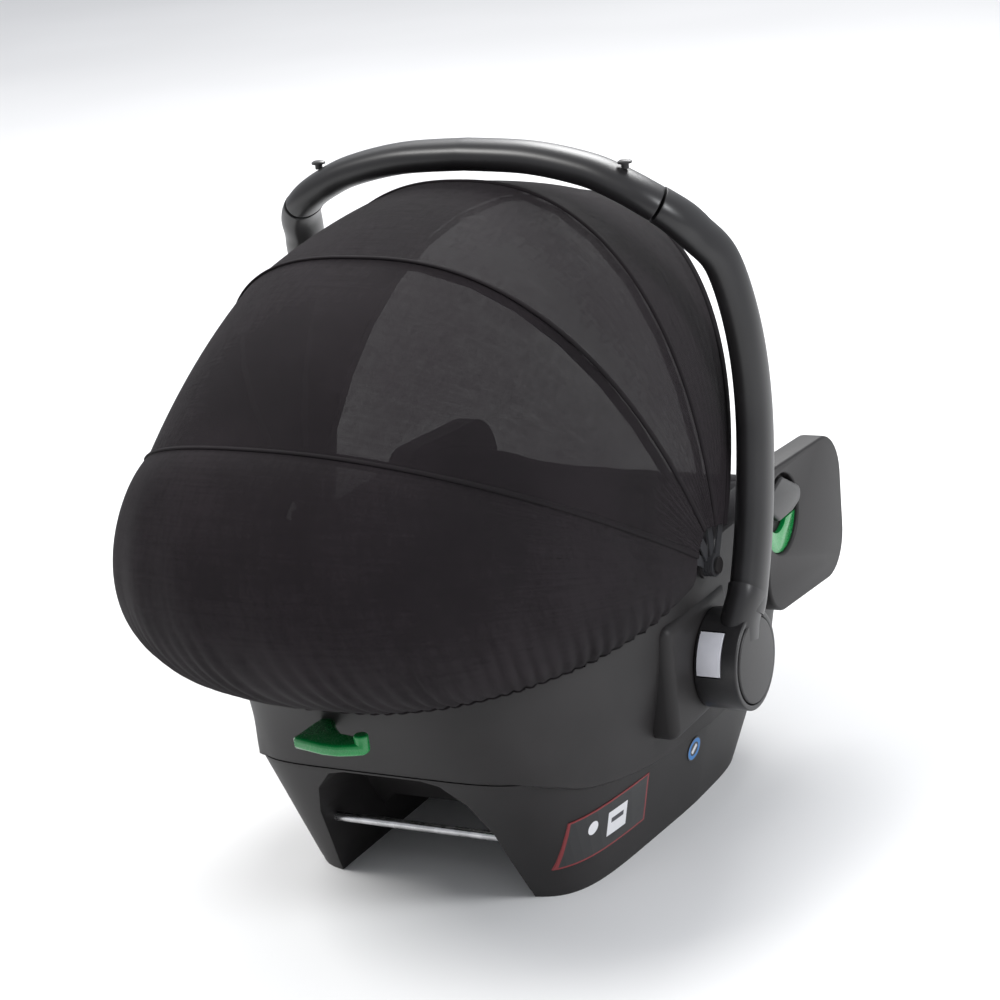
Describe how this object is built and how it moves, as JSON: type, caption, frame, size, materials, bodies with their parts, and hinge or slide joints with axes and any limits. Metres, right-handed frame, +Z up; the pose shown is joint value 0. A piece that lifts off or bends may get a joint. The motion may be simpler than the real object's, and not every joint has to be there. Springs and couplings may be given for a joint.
{
  "type": "infant car seat",
  "caption": "Rear-facing infant car seat with a swinging carry handle, folding fabric hood, harness and belt guides on a moulded shell.",
  "frame": {"origin": "on the floor under the middle of the overall length and width", "axes": "+Y towards the head end, +X across the seat, +Z up"},
  "size_m": [0.4628, 0.768, 0.5965],
  "materials": {
    "shell_plastic": "fine moulded grain",
    "handle_plastic": "satin",
    "trim_plastic": "satin",
    "bow_plastic": "smooth",
    "foot_rubber": "matt",
    "liner_foam": "beaded foam",
    "padded_fabric": "padded jersey",
    "insert_fabric": "soft brushed jersey",
    "hood_fabric": "thin woven fabric",
    "webbing": "flat woven webbing",
    "steel": "plated",
    "tongue_steel": "plated",
    "buckle_plastic": "smooth",
    "buckle_red": "smooth",
    "silver_plastic": "satin silver",
    "belt_green": "glossy",
    "label_film": "printed film",
    "badge_blue": "printed film"
  },
  "bodies": {
    "carrier": {"base_shell": "shell_plastic", "rubber_feet": "foot_rubber", "outer_shell": "shell_plastic", "foam_liner": "liner_foam", "seat_cover": "padded_fabric", "infant_insert": "insert_fabric", "rear_latch_rod": "steel", "front_latch_rod": "steel", "pivot_bracket_left": "shell_plastic", "pivot_bracket_right": "shell_plastic", "pivot_bolt_left": "steel", "pivot_bolt_right": "steel", "lap_belt_guide_left": "shell_plastic", "lap_belt_guide_right": "shell_plastic", "guide_insert_left": "belt_green", "guide_insert_right": "belt_green", "shoulder_belt_guide": "belt_green", "side_label": "label_film", "round_badge": "badge_blue", "hood_pivot_left": "trim_plastic", "hood_pivot_right": "trim_plastic", "rear_bow": "bow_plastic", "hood_rear_panel": "hood_fabric", "buckle_body": "buckle_plastic", "buckle_tongues": "tongue_steel", "crotch_strap": "webbing", "crotch_pad": "padded_fabric", "harness_strap_left": "webbing", "harness_strap_right": "webbing", "shoulder_pad_left": "padded_fabric", "shoulder_pad_right": "padded_fabric", "adjuster_housing": "trim_plastic", "adjuster_strap": "webbing", "release_bezel": "trim_plastic"},
    "handle": {"handle_leg_left": "handle_plastic", "handle_leg_right": "handle_plastic", "handle_grip": "handle_plastic", "toy_pegs": "handle_plastic", "hub_left": "handle_plastic", "hub_right": "handle_plastic", "hub_cap_left": "trim_plastic", "hub_cap_right": "trim_plastic"},
    "handle_button_left": {"handle_button_left": "silver_plastic"},
    "handle_button_right": {"handle_button_right": "silver_plastic"},
    "lock_gear_left": {"lock_gear_left": "steel", "lock_spring_left": "steel"},
    "lock_gear_right": {"lock_gear_right": "steel", "lock_spring_right": "steel"},
    "middle_bow": {"middle_bow": "bow_plastic", "hood_middle_panel": "hood_fabric"},
    "top_bow": {"top_bow": "bow_plastic", "hood_top_panel": "hood_fabric"},
    "front_bow": {"front_bow": "bow_plastic", "hood_front_panel": "hood_fabric"},
    "headrest": {"headrest": "padded_fabric"},
    "buckle_button": {"buckle_button": "buckle_red"},
    "adjuster_button": {"adjuster_button": "silver_plastic"},
    "release_handle": {"release_handle": "trim_plastic"},
    "latch_left": {"latch_left": "steel"},
    "latch_right": {"latch_right": "steel"}
  },
  "joints": [
    {"name": "handle_swing", "type": "hinge", "parent": "carrier", "child": "handle", "pos_m": [0, -0.064, 0.15], "axis": [1, 0, 0], "range_deg": [-5, 90]},
    {"name": "handle_button_left_press", "type": "slide", "parent": "handle", "child": "handle_button_left", "axis": [0, -0.9063, -0.4226], "range_m": [0, 0.005], "stiffness_N_per_m": 600},
    {"name": "handle_button_right_press", "type": "slide", "parent": "handle", "child": "handle_button_right", "axis": [0, -0.9063, -0.4226], "range_m": [0, 0.005], "stiffness_N_per_m": 600},
    {"name": "lock_gear_left_slide", "type": "slide", "parent": "handle", "child": "lock_gear_left", "axis": [-1, 0, 0], "range_m": [0, 0.0042], "deforming": ["lock_spring_left"]},
    {"name": "lock_gear_right_slide", "type": "slide", "parent": "handle", "child": "lock_gear_right", "axis": [1, 0, 0], "range_m": [0, 0.0042], "deforming": ["lock_spring_right"]},
    {"name": "middle_fold", "type": "hinge", "parent": "carrier", "child": "middle_bow", "pos_m": [0, -0.059, 0.235], "axis": [-1, 0, 0], "range_deg": [0, 17.5], "deforming": ["hood_middle_panel"]},
    {"name": "top_fold", "type": "hinge", "parent": "middle_bow", "child": "top_bow", "pos_m": [0, -0.059, 0.235], "axis": [-1, 0, 0], "range_deg": [0, 17.5], "deforming": ["hood_top_panel"]},
    {"name": "front_fold", "type": "hinge", "parent": "top_bow", "child": "front_bow", "pos_m": [0, -0.059, 0.235], "axis": [-1, 0, 0], "range_deg": [0, 17.5], "deforming": ["hood_front_panel"]},
    {"name": "headrest_slide", "type": "slide", "parent": "carrier", "child": "headrest", "axis": [0, 0.7716, 0.6361], "range_m": [0, 0.06]},
    {"name": "buckle_button_press", "type": "slide", "parent": "carrier", "child": "buckle_button", "axis": [0, 0, -1], "range_m": [0, 0.003], "stiffness_N_per_m": 1500},
    {"name": "adjuster_button_press", "type": "slide", "parent": "carrier", "child": "adjuster_button", "axis": [0, -0.531, -0.8474], "range_m": [0, 0.003], "stiffness_N_per_m": 1500},
    {"name": "release_pull", "type": "slide", "parent": "carrier", "child": "release_handle", "axis": [0, -1, 0], "range_m": [0, 0.012], "stiffness_N_per_m": 300},
    {"name": "latch_left_slide", "type": "slide", "parent": "carrier", "child": "latch_left", "axis": [0, 1, 0], "range_m": [0, 0.005]},
    {"name": "latch_right_slide", "type": "slide", "parent": "carrier", "child": "latch_right", "axis": [0, 1, 0], "range_m": [0, 0.005]}
  ],
  "couplings": [
    {"joint": "lock_gear_left_slide", "follows": "handle_button_left_press", "ratio": 0.8},
    {"joint": "lock_gear_right_slide", "follows": "handle_button_right_press", "ratio": 0.8},
    {"joint": "top_fold", "follows": "middle_fold", "ratio": 1},
    {"joint": "front_fold", "follows": "middle_fold", "ratio": 1},
    {"joint": "latch_left_slide", "follows": "release_pull", "ratio": 0.4},
    {"joint": "latch_right_slide", "follows": "release_pull", "ratio": 0.4}
  ]
}
